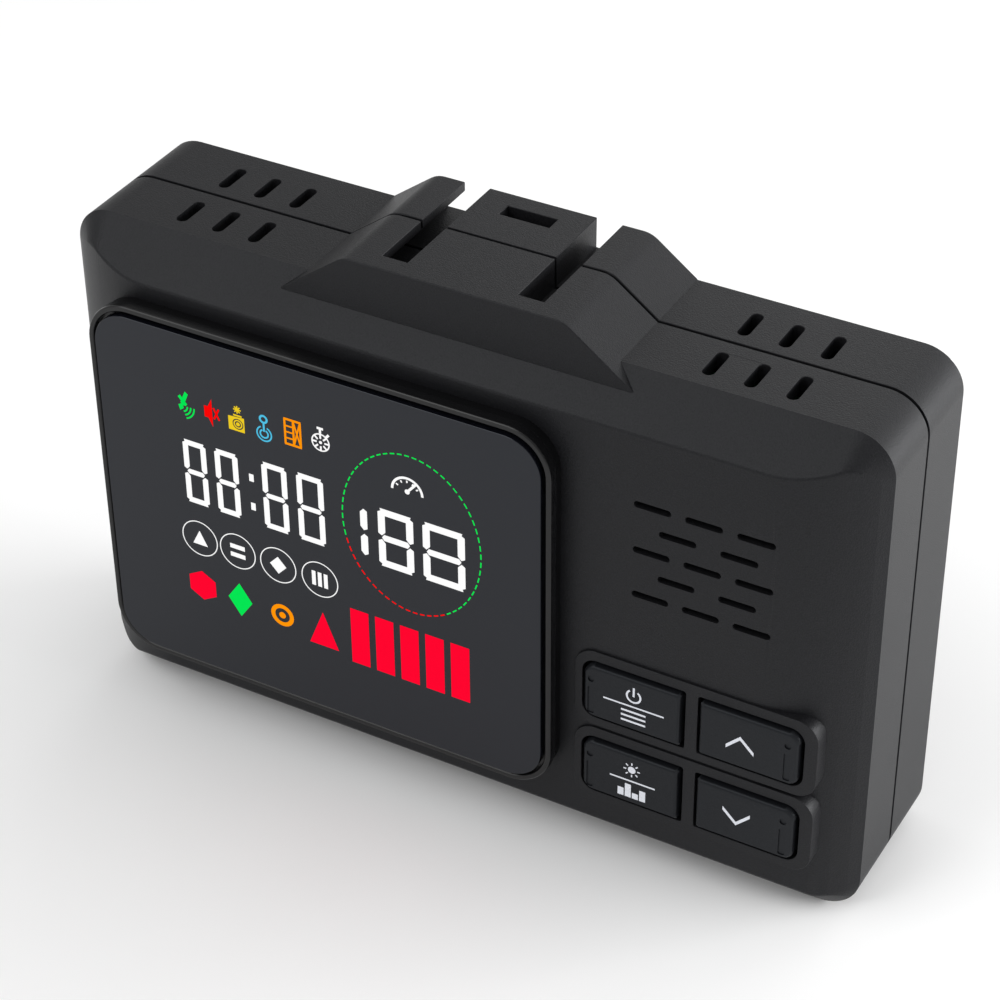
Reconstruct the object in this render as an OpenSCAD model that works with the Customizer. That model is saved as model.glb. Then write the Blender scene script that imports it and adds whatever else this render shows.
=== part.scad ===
// Windscreen radar detector: a two-shell case with a raised display, four buttons, a speaker grille,
// bracket rails on top, and the boards, antennas and sensors that it holds inside.
// X runs to the right, +Y away from the driver, +Z up. The origin is under the middle of the case.

/* [Case] */
// Width of the case
body_w = 100; // [98:0.5:104]
// Height of the case without the bracket rails
body_h = 64.2; // [64:0.2:66]
// Depth from the front rim to the back
shell_d = 19.1; // [18.8:0.1:22]
// How far the flat front stands ahead of the rim
face_stand = 4.9; // [4.7:0.1:5.2]
// Radius of the four corners, seen from the front
corner_r = 4.8; // [4:0.2:6]
// Length of the rounded end at each side of the front
end_run = 12; // [11.5:0.1:12]
// Radius of the rounded ends of the front, seen from above
end_r = 17.5; // [17.2:0.1:18]
// Wall thickness of both covers
wall = 1.8; // [1.6:0.1:1.9]
// Distance from the rim to the seam between the covers
seam_back = 8.7; // [8.4:0.1:9]
// Size of the bevel round the back
back_bevel = 1; // [0.6:0.1:1.2]
// Width of the open seam
seam_gap = 0.35; // [0.2:0.05:0.4]

/* [Bracket rails] */
// Height of the rail block above the case
rail_h = 4.2; // [4:0.1:4.6]
// Half width of the block's flat top
rail_top = 13.4; // [13.2:0.1:14]
// Half width of the block where its ramps meet the case
rail_foot = 19; // [18.6:0.1:20]
// How far the block's front stands ahead of the rim
rail_front = 2.1; // [1.8:0.1:2.4]
// How far the block's back end stops short of the back
rail_back = 0.8; // [0.6:0.1:1.2]
// Half width of the tongue between the two slots
slot_in = 6.7; // [6.5:0.1:7]
// Distance from the middle to the slots' outer edges
slot_out = 9.8; // [9.6:0.1:10]
// Distance from the middle to the undercut behind the slots' lips
slot_under = 12; // [11.6:0.1:12.2]
// Height of the slots' floor above the case
slot_floor = 0.55; // [0.4:0.05:0.7]
// Thickness of the slots' lips
lip_t = 1.15; // [1:0.05:1.3]
// Width of the catch window in the tongue
catch_w = 6.2; // [5:0.1:7]

/* [Display] */
// Left edge of the window
win_left = -43.2; // [-43.4:0.1:-43]
// Width of the window
win_w = 57; // [56.8:0.1:57.2]
// Bottom edge of the window
win_low = 9.8; // [9.7:0.1:9.9]
// Height of the window
win_h = 46.6; // [46.4:0.1:46.8]
// Corner radius of the window
win_r = 4.5; // [4:0.1:5]
// How far the window stands ahead of the front
display_stand = 2.9; // [2.8:0.1:3]
// How far the window stands ahead of the bezel
win_proud = 0.3; // [0.2:0.05:0.4]
// Gap round the window
win_gap = 0.35; // [0.3:0.05:0.4]
// Width of the bezel's rim
bezel_rim = 0.75; // [0.7:0.05:0.85]

/* [Buttons] */
// Width of each button's opening
hole_w = 12.6; // [12.4:0.1:12.6]
// Height of each button's opening
hole_h = 8; // [7.8:0.1:8]
// Left edges of the two columns of openings
hole_x = [17.65, 31.75];
// Bottom edges of the lower and upper openings
hole_z = [9.2, 20];
// Gap round each button
cap_gap = 0.4; // [0.3:0.05:0.45]
// How far the buttons stand ahead of their frames
cap_proud = 0.5; // [0.3:0.05:0.6]
// How far a button travels when it is pressed
cap_travel = 0.45; // [0.3:0.05:0.5]

/* [Grille and vents] */
// Length of a grille slot
slit_l = 4.3; // [4:0.1:4.6]
// Height of a grille slot
slit_h = 0.8; // [0.7:0.05:1]
// Distance between the rows of grille slots
slit_rows = 2.95; // [2.8:0.05:3]
// Length of a vent in the top
vent_l = 4.6; // [4:0.1:4.8]
// Width of a vent in the top
vent_w = 1.4; // [1.2:0.1:1.6]

/* [Sockets] */
// Bore of the power socket
jack_bore = 3.5; // [3.5, 2.5]
// Depth of the power socket's bore
jack_depth = 12; // [11:0.5:12.5]

/* [Hidden] */
$fn = 64;
depth = display_stand + face_stand + shell_d;
win_y = -depth / 2;
face_y = win_y + display_stand;
rim_y = face_y + face_stand;
back_y = rim_y + shell_d;
seam_y = rim_y + seam_back;
skin_y = face_y + wall;
half_w = body_w / 2;
flat_half = half_w - end_run;
rail_top_z = body_h + rail_h;
slot_floor_z = body_h + slot_floor;
rail_y0 = rim_y - rail_front;
rail_y1 = back_y - rail_back;
win_right = win_left + win_w;
win_top = win_low + win_h;
disp_x = win_left + win_w / 2;
disp_z = win_low + win_h / 2;
bezel_y = win_y + win_proud;
bezel_back = bezel_y + 1.3;
frame_y = bezel_back + 0.1;
seat_y = win_y + 1.2;
pod_y = face_y - 0.3;
cap_y = pod_y - cap_proud;
cap_back = skin_y + 0.8;
board_y = rim_y + 1;
board_t = 1.2;
main_y = rim_y + 7;
main_back = main_y + board_t;
grille_x = 31.4;
grille_z = 44.7;
speaker_x = 31;
speaker_r = 10;
speaker_y = skin_y + 0.5;
jack_y = rim_y + 12.6;
jack_z = 14;
usb_y = rim_y + 9.6;
usb_z = 22.2;
laser_x = -2;
laser_z = 47.5;
case_screw_x = half_w - 5.5;
case_screw_z = [6.2, body_h - 6.2];
front_posts = [[-44.6, 32], [45.8, 31.2], [-14.7, 58.4], [-14.7, 6.8]];
rear_posts = [[-44, 34], [45, 32], [4, 59], [4, 6.6]];
case_black = [0.16, 0.16, 0.17];

// ---- shared shapes ----

// A flat shape drawn in X and Z, made solid from y0 to y1.
module slab(y0, y1) {
    translate([0, y1, 0]) rotate([90, 0, 0]) linear_extrude(height = y1 - y0) children();
}

// A box from y0 to y1.
module box(x0, x1, y0, y1, z0, z1) {
    translate([x0, y0, z0]) cube([x1 - x0, y1 - y0, z1 - z0]);
}

// A rectangle with round corners.
module rounded(x0, x1, z0, z1, r) {
    translate([x0 + r, z0]) square([x1 - x0 - 2 * r, z1 - z0]);
    translate([x0, z0 + r]) square([x1 - x0, z1 - z0 - 2 * r]);
    for (x = [x0 + r, x1 - r], z = [z0 + r, z1 - r]) translate([x, z]) circle(r = r);
}

// A round bar along Y at (x, z), from y0 to y1.
module bar(x, z, r, y0, y1) {
    translate([x, y1, z]) rotate([90, 0, 0]) cylinder(r = r, h = y1 - y0);
}

// The case's outline, moved inwards by t.
module outline(t) {
    rounded(-half_w + t, half_w - t, t, body_h - t, corner_r - min(t, corner_r - 1));
}

// The front half of the case, moved inwards by t: flat in the middle, round towards the ends,
// with a 45 degree bevel along the top and the bottom that runs round the corners as a cone.
module front_block(t, y_end) {
    slant = t * (sqrt(2) - 1);
    low_z = face_stand + slant;
    front_x = half_w - low_z;
    intersection() {
        slab(face_y - 1, y_end) outline(t);
        linear_extrude(height = body_h) {
            translate([-flat_half, face_y + t]) square([2 * flat_half, y_end - face_y]);
            for (x = [-flat_half, flat_half]) translate([x, face_y + end_r]) circle(r = end_r - t, $fn = 128);
        }
        hull() {
            slab(rim_y + slant, y_end) outline(t);
            box(-front_x, front_x, face_y + t, face_y + t + 0.01, low_z, body_h - low_z);
        }
    }
}

// The rear half of the case, with a bevel that runs all the way round the back.
module rear_block() {
    hull() {
        slab(seam_y + seam_gap / 2, back_y - back_bevel) outline(0);
        slab(back_y - 0.01, back_y) outline(back_bevel);
    }
}

// The rail block's cross-section, with rounded top corners.
module rail_section() {
    bend = 3;
    foot_run = (rail_foot - rail_top) / rail_h;
    sink = 3;
    hull() for (s = [-1, 1]) scale([s, 1]) {
        translate([0, body_h - sink]) square([rail_foot + sink * foot_run, 0.01]);
        translate([rail_top - bend * 0.35, rail_top_z - bend]) circle(r = bend, $fn = 48);
    }
}

// What the rail slots take out, from y0 to y1.
module rail_slots(y0, y1) {
    for (s = [-1, 1]) slab(y0, y1) scale([s, 1]) {
        translate([slot_in, slot_floor_z]) square([slot_out - slot_in, rail_h + 1]);
        translate([slot_in, slot_floor_z]) square([slot_under - slot_in, rail_h - slot_floor - lip_t]);
    }
}

// The hollow under the tongue.
module rail_core(y0, y1) {
    box(-slot_in + 1.4, slot_in - 1.4, y0, y1, body_h - 1, rail_top_z - wall);
}

// Three vents at each end of the top, at the depth y.
module vents(y) {
    for (s = [-1, 1], x = [27.8, 32.55, 37.3]) translate([s * x, y, body_h - 3]) linear_extrude(height = 4) {
        square([vent_w, vent_l - vent_w], center = true);
        for (e = [-1, 1]) translate([0, e * (vent_l - vent_w) / 2]) circle(d = vent_w);
    }
}

// One slot of the speaker grille, centred on (x, z).
module slit(x, z) {
    translate([x, z]) {
        square([slit_l - slit_h, slit_h], center = true);
        for (e = [-1, 1]) translate([e * (slit_l - slit_h) / 2, 0]) circle(d = slit_h);
    }
}

// A button's outline in column c and row r, moved inwards by t: its outer corners are round.
module button_outline(c, r, t) {
    x0 = hole_x[c] + t;
    z0 = hole_z[r] + t;
    w = hole_w - 2 * t;
    h = hole_h - 2 * t;
    rounded(x0, x0 + w, z0, z0 + h, 1.7 - t);
    rounded(x0 + (1 - c) * w / 2, x0 + (2 - c) * w / 2, z0, z0 + h, 0.3);
}

// A pan-head screw along Y: its head's seat is at y, and s is 1 where the shank points to the back.
module screw(x, z, y, s, shank_l, head_r) {
    difference() {
        union() {
            bar(x, z, 0.95, min(y, y + s * shank_l), max(y, y + s * shank_l));
            bar(x, z, head_r, min(y, y - s * 1.3), max(y, y - s * 1.3));
        }
        for (a = [0, 90]) translate([x, y - s * 1.3, z]) rotate([0, a, 0]) cube([2.2, 1.4, 0.5], center = true);
    }
}

// A circuit board from y, cut away at the corners round the case screws.
module board(y) {
    edge_x = half_w - 4;
    notch = 6;
    difference() {
        box(-edge_x, edge_x, y, y + board_t, 4, body_h - 4);
        for (s = [-1, 1], z = case_screw_z)
            box(s * edge_x - notch, s * edge_x + notch, y - 1, y + board_t + 1, z - notch + 1.4, z + notch - 1.4);
    }
}

// ---- case ----

module front_cover() color(case_black) difference() {
    union() {
        difference() {
            front_block(0, seam_y - seam_gap / 2);
            front_block(wall, seam_y + 1);
            slab(seam_y - 1.7, seam_y + 1) outline(1);
        }
        for (z = hole_z) {
            pod_low = z - 1.1;
            slab(pod_y, skin_y) rounded(16.7, 45.9, pod_low, pod_low + 10.4, 2.5);
            intersection() {
                slab(pod_y, skin_y + 1.8) rounded(16.7, 45.9, pod_low, pod_low + 10.4, 2.5);
                box(flat_half, half_w, pod_y, skin_y + 1.8, 0, body_h);
            }
        }
        for (s = [-1, 1], z = case_screw_z) bar(s * case_screw_x, z, 2.7, rim_y - 1.5, seam_y - seam_gap / 2);
        for (p = front_posts) bar(p[0], p[1], 1.9, rim_y - (abs(p[0]) > 40 ? 1.6 : 3.3), board_y);
        difference() {
            bar(speaker_x, grille_z, speaker_r + 1, skin_y - 0.3, skin_y + 2);
            bar(speaker_x, grille_z, speaker_r + 0.1, skin_y - 1, skin_y + 3);
        }
    }
    vents(rim_y + 4.2);
    slab(face_y - 1, skin_y + 1) rounded(disp_x - 27, disp_x + 27, disp_z - 22, disp_z + 22, 1.5);
    for (c = [0, 1], r = [0, 1]) slab(pod_y - 1, skin_y + 3) button_outline(c, r, 0);
    slab(face_y - 1, skin_y + 0.2) {
        for (row = [-2, 0, 2], k = [-1, 0, 1]) slit(grille_x + k * 5.95, grille_z + row * slit_rows);
        for (row = [-1, 1], k = [-1, 1]) slit(grille_x + 0.6 + k * 3.55, grille_z + row * slit_rows);
    }
    for (s = [-1, 1], z = case_screw_z) bar(s * case_screw_x, z, 1, rim_y + 1, seam_y);
    for (p = front_posts) bar(p[0], p[1], 1, board_y - 2.4, board_y + 1);
}

module rear_cover() color(case_black) difference() {
    union() {
        difference() {
            union() {
                rear_block();
                slab(seam_y - 1.5, seam_y + 1) outline(1.1);
            }
            slab(seam_y - 2, back_y - wall) outline(wall);
        }
        for (s = [-1, 1], z = case_screw_z) bar(s * case_screw_x, z, 2.7, seam_y, back_y - 1);
        for (p = rear_posts) bar(p[0], p[1], 2.2, main_back, back_y - 1);
    }
    vents(rim_y + 12.7);
    for (s = [-1, 1], z = case_screw_z) {
        bar(s * case_screw_x, z, 1.2, seam_y - 1, back_y + 1);
        bar(s * case_screw_x, z, 2.1, back_y - 3, back_y + 1);
    }
    for (p = rear_posts) bar(p[0], p[1], 1, main_back - 1, main_back + 5);
    translate([-half_w - 1, jack_y, jack_z]) rotate([0, 90, 0]) cylinder(r = 3.2, h = 4);
    box(-half_w - 1, -half_w + 3, usb_y - 0.3, usb_y + 3.1, usb_z - 0.4, usb_z + 8);
    slab(back_y - wall - 1, back_y + 1) rounded(laser_x - 13, laser_x + 13, laser_z - 6.5, laser_z + 6.5, 2);
}

// The front half of the rail block, which rests on the front cover's top and on its bevel.
module bracket_rail_front() color(case_black) difference() {
    intersection() {
        slab(rail_y0, seam_y - seam_gap / 2) rail_section();
        box(-half_w, half_w, rail_y0, seam_y, body_h - 2.6, rail_top_z);
    }
    front_block(0, seam_y + 1);
    rail_slots(rim_y + 0.4, seam_y + 1);
    rail_core(rim_y + 0.4, seam_y + 1);
}

// The rear half of the rail block, with the catch window in its tongue.
module bracket_rail_rear() color(case_black) difference() {
    intersection() {
        slab(seam_y + seam_gap / 2, rail_y1) rail_section();
        box(-half_w, half_w, seam_y, back_y, body_h, rail_top_z);
    }
    rail_slots(seam_y, back_y + 1);
    rail_core(seam_y, rail_y1 - wall);
    box(-catch_w / 2, catch_w / 2, back_y - 5.2, back_y - 3.2, body_h, rail_top_z + 1);
}

// ---- display ----

module display_frame() color([0.05, 0.05, 0.06]) difference() {
    union() {
        slab(frame_y, face_y) rounded(win_left - 0.9, win_right + 0.9, win_low - 0.9, win_top + 0.9, win_r + 0.9);
        slab(bezel_back, frame_y) rounded(win_left - 0.4, win_right + 0.4, win_low - 0.4, win_top + 0.4, win_r);
        slab(face_y, skin_y) rounded(disp_x - 26.8, disp_x + 26.8, disp_z - 21.8, disp_z + 21.8, 1.3);
    }
    slab(win_y, skin_y + 1) rounded(disp_x - 25.8, disp_x + 25.8, disp_z - 20.8, disp_z + 20.8, 0.6);
}

module display_bezel() color([0.12, 0.12, 0.13]) difference() {
    rim = win_gap + bezel_rim;
    slab(bezel_y, bezel_back) rounded(win_left - rim, win_right + rim, win_low - rim, win_top + rim, win_r + rim);
    slab(bezel_y - 1, seat_y)
        rounded(win_left - win_gap, win_right + win_gap, win_low - win_gap, win_top + win_gap, win_r + win_gap);
    slab(bezel_y, bezel_back + 1) rounded(disp_x - 26, disp_x + 26, disp_z - 21, disp_z + 21, 1);
}

module display_window() color([0.2, 0.2, 0.22])
    slab(win_y, seat_y) rounded(win_left, win_right, win_low, win_top, win_r);

module display_gasket() color([0.02, 0.02, 0.02]) slab(seat_y, seat_y + 0.7) difference() {
    rounded(disp_x - 25.6, disp_x + 25.6, disp_z - 20.6, disp_z + 20.6, 1);
    rounded(disp_x - 24, disp_x + 24, disp_z - 19, disp_z + 19, 1);
}

module display_panel() color([0.1, 0.12, 0.12])
    box(disp_x - 25.5, disp_x + 25.5, seat_y + 0.7, seat_y + 2.5, disp_z - 20.5, disp_z + 20.5);

module light_guide() color([0.9, 0.92, 0.9])
    box(disp_x - 25.5, disp_x + 25.5, seat_y + 2.5, seat_y + 4.2, disp_z - 20.5, disp_z + 20.5);

module panel_holder() color([0.9, 0.9, 0.88]) slab(seat_y + 4.2, board_y) difference() {
    rounded(disp_x - 26.8, disp_x + 26.8, disp_z - 21.8, disp_z + 21.8, 1);
    rounded(disp_x - 24, disp_x + 24, disp_z - 19, disp_z + 19, 1);
}

module backlight_leds() color([1, 0.95, 0.7])
    for (i = [-1, 1], k = [-1, 0, 1]) {
        x = disp_x + k * 15;
        z = disp_z + i * 9;
        box(x - 1.75, x + 1.75, board_y - 1.4, board_y, z - 1.5, z + 1.5);
    }

module display_board() color([0.05, 0.3, 0.15]) difference() {
    board(board_y);
    bar(speaker_x, grille_z, 6.5, board_y - 1, board_y + 3);
    for (p = front_posts) bar(p[0], p[1], 1.1, board_y - 1, board_y + 3);
}

// ---- buttons ----

// A button cap in column c and row r, with two retaining tabs and the stem that presses its switch.
module button_cap(c, r) {
    mid_x = hole_x[c] + hole_w / 2;
    mid_z = hole_z[r] + hole_h / 2;
    mark_x = c == 0 ? hole_x[0] + 1.35 : hole_x[1] + hole_w - 1.7;
    tab_x = c == 0 ? mid_x : flat_half - 2.8;
    edge = 0.35;
    difference() {
        union() {
            hull() {
                slab(cap_y, cap_y + 0.01) button_outline(c, r, cap_gap + edge);
                slab(cap_y + edge, cap_back) button_outline(c, r, cap_gap);
            }
            box(tab_x - 2.2, tab_x + 2.2, skin_y + 0.05, cap_back, mid_z - hole_h / 2 - 0.8, mid_z + hole_h / 2 + 0.8);
            bar(mid_x, mid_z, 1.3, cap_back - 0.5, board_y - 1.9);
        }
        bar(mark_x, mid_z + 1.8, 0.4, cap_y - 1, cap_y + 0.15);
        slab(cap_y - 1, cap_y + 0.12) rounded(mark_x - 0.4, mark_x + 0.4, mid_z - 3, mid_z + 0.7, 0.2);
    }
}

// The moving plunger of the switch under the button in column c and row r.
module plunger(c, r) color([0.75, 0.7, 0.6])
    bar(hole_x[c] + hole_w / 2, hole_z[r] + hole_h / 2, 1.2, board_y - 1.9, board_y - 0.9);

module button_menu() color(case_black) button_cap(0, 1);
module button_up() color(case_black) button_cap(1, 1);
module button_dim() color(case_black) button_cap(0, 0);
module button_down() color(case_black) button_cap(1, 0);
module plunger_menu() plunger(0, 1);
module plunger_up() plunger(1, 1);
module plunger_dim() plunger(0, 0);
module plunger_down() plunger(1, 0);

module switch_bases() color([0.6, 0.6, 0.62]) for (c = [0, 1], r = [0, 1]) {
    x = hole_x[c] + hole_w / 2;
    z = hole_z[r] + hole_h / 2;
    difference() {
        box(x - 2.25, x + 2.25, board_y - 1.2, board_y, z - 2.25, z + 2.25);
        bar(x, z, 1.3, board_y - 2, board_y - 0.2);
    }
}

// ---- boards and electronics ----

module board_header() color([0.1, 0.1, 0.1])
    box(-10, 10, board_y + board_t, main_y, 14, 18.5);

module main_board() color([0.05, 0.3, 0.15]) difference() {
    board(main_y);
    for (p = rear_posts) bar(p[0], p[1], 1.1, main_y - 1, main_y + 3);
}

module processor_chips() color([0.08, 0.08, 0.09]) {
    box(-30, -18, main_back, main_back + 1.4, 24, 36);
    box(-9, -1, main_back, main_back + 1.2, 8, 13);
    box(20, 32, main_back, main_back + 1.4, 6.5, 12);
}

// A flared microwave horn, its mouth towards the road.
module horn_antenna() color([0.75, 0.75, 0.77]) difference() {
    union() {
        box(11, 41, main_back, main_back + 1.6, 16, 44);
        hull() {
            box(21, 31, main_back, main_back + 1, 26, 34);
            box(12, 40, back_y - wall - 1.4, back_y - wall - 0.4, 17, 43);
        }
    }
    hull() {
        box(22.5, 29.5, main_back + 1.4, main_back + 1.5, 28, 32);
        box(13.2, 38.8, back_y - wall - 0.5, back_y - wall, 18.2, 41.8);
    }
}

module rf_shield() color([0.7, 0.7, 0.72]) box(-14, 7, main_back, main_back + 3, 20, 34);

module gps_antenna() color([0.75, 0.68, 0.55]) {
    box(-40, -22, main_back, main_back + 4, 41, 59);
    bar(-31, 50, 6, main_back + 3.9, main_back + 4.1);
}

module gps_module() color([0.72, 0.72, 0.74]) box(-16, -4, main_y - 2.4, main_y, 38, 54);

module backup_cell() color([0.6, 0.6, 0.62]) bar(-27, 14, 5, main_back, main_back + 4);

module laser_sensor() color([0.15, 0.05, 0.06])
    box(laser_x - 2.5, laser_x + 2.5, main_back, main_back + 1.5, laser_z - 2.5, laser_z + 2.5);

module laser_holder() color(case_black) difference() {
    bar(laser_x, laser_z, 6.4, main_back, back_y - wall - 2.4);
    bar(laser_x, laser_z, 4.6, main_back - 1, back_y);
    bar(laser_x, laser_z, 5.6, back_y - wall - 3.6, back_y);
}

// A flat disc with a bulging front.
module laser_lens() color([0.5, 0.1, 0.1, 0.8]) {
    bulge = 1.6;
    ball = (5.4 * 5.4 + bulge * bulge) / (2 * bulge);
    seat = back_y - wall - 3.6;
    bar(laser_x, laser_z, 5.5, seat, seat + 1);
    intersection() {
        translate([laser_x, seat + 1 + bulge - ball, laser_z]) sphere(r = ball, $fn = 96);
        bar(laser_x, laser_z, 5.4, seat + 1, seat + 1 + bulge);
    }
}

module laser_window() color([0.12, 0.02, 0.03]) {
    slab(back_y - wall, back_y - 0.2) rounded(laser_x - 12.9, laser_x + 12.9, laser_z - 6.4, laser_z + 6.4, 1.9);
}

module power_jack() color([0.07, 0.07, 0.07]) difference() {
    union() {
        box(-46.5, -35.5, main_back, jack_y + 3.4, jack_z - 3.5, jack_z + 3.5);
        translate([-half_w + 0.3, jack_y, jack_z]) rotate([0, 90, 0]) cylinder(r = 3, h = 4);
    }
    translate([-half_w, jack_y, jack_z]) rotate([0, 90, 0]) cylinder(d = jack_bore, h = jack_depth + 0.3);
}

module usb_socket() color([0.75, 0.75, 0.77]) difference() {
    union() {
        box(-half_w + 0.5, -44, usb_y, usb_y + 2.8, usb_z, usb_z + 7.6);
        box(-46, -44, main_back, usb_y, usb_z, usb_z + 7.6);
    }
    box(-half_w, -45, usb_y + 0.35, usb_y + 2.45, usb_z + 0.35, usb_z + 7.25);
}

module usb_tongue() color([0.05, 0.05, 0.05])
    box(-48.6, -45, usb_y + 1.1, usb_y + 1.7, usb_z + 1.6, usb_z + 6);

// ---- speaker ----

module speaker_frame() color([0.1, 0.1, 0.1]) difference() {
    union() {
        bar(speaker_x, grille_z, speaker_r, speaker_y + 0.15, speaker_y + 1.2);
        bar(speaker_x, grille_z, speaker_r - 1.5, speaker_y + 1, speaker_y + 2.6);
    }
    bar(speaker_x, grille_z, speaker_r - 1.2, speaker_y, speaker_y + 1);
    bar(speaker_x, grille_z, speaker_r - 2.3, speaker_y, speaker_y + 2);
}

module speaker_magnet() color([0.5, 0.5, 0.52])
    bar(speaker_x, grille_z, 5.5, speaker_y + 2.6, speaker_y + 5.6);

module speaker_cone() color([0.2, 0.18, 0.16]) translate([speaker_x, speaker_y + 1.9, grille_z]) rotate([90, 0, 0])
    difference() {
        cylinder(r1 = 2.5, r2 = speaker_r - 2.5, h = 1.2);
        translate([0, 0, 0.25]) cylinder(r1 = 2.3, r2 = speaker_r - 2.7, h = 1);
    }

module speaker_cloth() color([0.06, 0.06, 0.06])
    bar(speaker_x, grille_z, speaker_r - 0.2, speaker_y - 0.1, speaker_y + 0.15);

// Two leads from the speaker's terminals to the board.
module speaker_leads() color([0.7, 0.1, 0.1]) for (s = [-1, 1]) {
    x = speaker_x + s * 1.5;
    bar(x, grille_z - 8, 0.4, speaker_y + 2.6, board_y);
}

// ---- fasteners ----

module case_screws() color([0.5, 0.5, 0.52])
    for (s = [-1, 1], z = case_screw_z) screw(s * case_screw_x, z, back_y - 3, -1, 14, 1.8);

module front_board_screws() color([0.5, 0.5, 0.52])
    for (p = front_posts) screw(p[0], p[1], board_y + board_t, -1, 3.2, 1.7);

module main_board_screws() color([0.5, 0.5, 0.52])
    for (p = rear_posts) screw(p[0], p[1], main_y, 1, 5, 1.7);

front_cover();
rear_cover();
bracket_rail_front();
bracket_rail_rear();
display_frame();
display_bezel();
display_window();
display_gasket();
display_panel();
light_guide();
panel_holder();
backlight_leds();
display_board();
button_menu();
button_up();
button_dim();
button_down();
plunger_menu();
plunger_up();
plunger_dim();
plunger_down();
switch_bases();
board_header();
main_board();
processor_chips();
horn_antenna();
rf_shield();
gps_antenna();
gps_module();
backup_cell();
laser_sensor();
laser_holder();
laser_lens();
laser_window();
power_jack();
usb_socket();
usb_tongue();
speaker_frame();
speaker_magnet();
speaker_cone();
speaker_cloth();
speaker_leads();
case_screws();
front_board_screws();
main_board_screws();
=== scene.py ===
import math

import bmesh
import bpy
from bpy.props import FloatProperty, FloatVectorProperty, IntProperty, PointerProperty
from mathutils import Matrix, Vector


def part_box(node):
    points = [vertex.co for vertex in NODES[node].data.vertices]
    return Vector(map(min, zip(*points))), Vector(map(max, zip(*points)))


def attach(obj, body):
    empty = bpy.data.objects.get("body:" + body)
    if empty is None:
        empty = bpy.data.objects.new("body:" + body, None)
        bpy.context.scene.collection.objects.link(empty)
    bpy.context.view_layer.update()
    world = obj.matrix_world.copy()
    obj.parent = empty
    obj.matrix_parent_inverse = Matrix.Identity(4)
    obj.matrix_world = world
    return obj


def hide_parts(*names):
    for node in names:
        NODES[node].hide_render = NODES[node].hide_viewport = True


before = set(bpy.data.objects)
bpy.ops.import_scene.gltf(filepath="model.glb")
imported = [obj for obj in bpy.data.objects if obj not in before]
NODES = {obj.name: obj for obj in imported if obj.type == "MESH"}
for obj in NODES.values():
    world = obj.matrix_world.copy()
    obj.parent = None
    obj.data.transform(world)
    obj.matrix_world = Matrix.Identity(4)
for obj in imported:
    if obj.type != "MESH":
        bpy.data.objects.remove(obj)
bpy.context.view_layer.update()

bl_info = {
    "name": "Radar Detector",
    "version": (1, 0, 0),
    "blender": (4, 5, 0),
    "location": "View3D > Sidebar > Detector",
    "description": "Builds the finished looks of a windscreen radar detector round its CAD frame",
    "category": "Object",
}

MM = 0.001
MERGE = 2e-6           # loose triangle corners closer than this are one corner
FLAT = math.radians(0.08)     # faces within this are one flat face
SHARP = math.radians(28)      # a sharper edge than this is a real edge


def edge_of(node, axis, side):
    """One face of a CAD node's box, in millimetres: side 0 is the low one and 1 the high one."""
    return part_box(node)[side][axis] / MM


FRAME_PROUD = 1.2      # how far the display's frame stands ahead of the case front
BEVEL = 4.9            # from the case front back to its rim
FACE_Y = edge_of("display_frame", 1, 0) + FRAME_PROUD
WINDOW_Y = edge_of("display_window", 1, 0)
RIM_Y = FACE_Y + BEVEL
SEAM_Y = edge_of("bracket_rail_rear", 1, 0)
BACK_Y = edge_of("rear_cover", 1, 1)
TOP_Z = 64.2           # the top of the case beside the rails
JACK_IN = 6.5          # the power socket's place ahead of the back, and its height
JACK_Z = 14.0
HALF_W = edge_of("rear_cover", 0, 1)
CAP_Y = edge_of("button_up", 1, 0)
CLOSE = 0.03           # edges nearer than this to a plane lie in it
TONGUE_X = 12.5        # the bracket rails' middle tongue and its slots lie within this of the middle
# areas of the front: left, right, bottom and top
BUTTON_AREA = (16, 47, 5, 31)
GRILLE_AREA = (20, 43, 35, 53)
# the lower left corner of each button cap, in X and Z
BUTTONS = {"button_menu": (17.65, 20.0), "button_up": (31.75, 20.0),
           "button_dim": (17.65, 9.2), "button_down": (31.75, 9.2)}


# ---- sizes and colours ----

class CaseLooks(bpy.types.PropertyGroup):
    """The black moulded plastic and its rounded edges"""
    colour: FloatVectorProperty(name="Case colour", description="Colour of the moulded case",
                                subtype="COLOR", default=(0.0080, 0.0080, 0.0092), min=0, max=1)
    roughness: FloatProperty(name="Roughness", description="Roughness of the case plastic",
                             subtype="FACTOR", default=0.44, min=0, max=1)
    specular: FloatProperty(name="Specular", description="Strength of the case plastic's reflections",
                            subtype="FACTOR", default=0.22, min=0, max=1)
    grain_scale: FloatProperty(name="Grain scale", description="Grains of the moulded texture in a metre",
                               default=5800, min=100, max=20000)
    rim_edge: FloatProperty(name="Rim edge", description="Rounding of the rim round the front cover",
                            unit="LENGTH", default=0.00026, min=0, max=0.001)
    outer_edge: FloatProperty(name="Outer edges", description="Rounding of the other outer edges",
                              unit="LENGTH", default=0.00018, min=0, max=0.0005)
    fine_edge: FloatProperty(name="Fine edges", description="Rounding of slots, vents and button frames",
                             unit="LENGTH", default=0.00009, min=0, max=0.0003)


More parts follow.
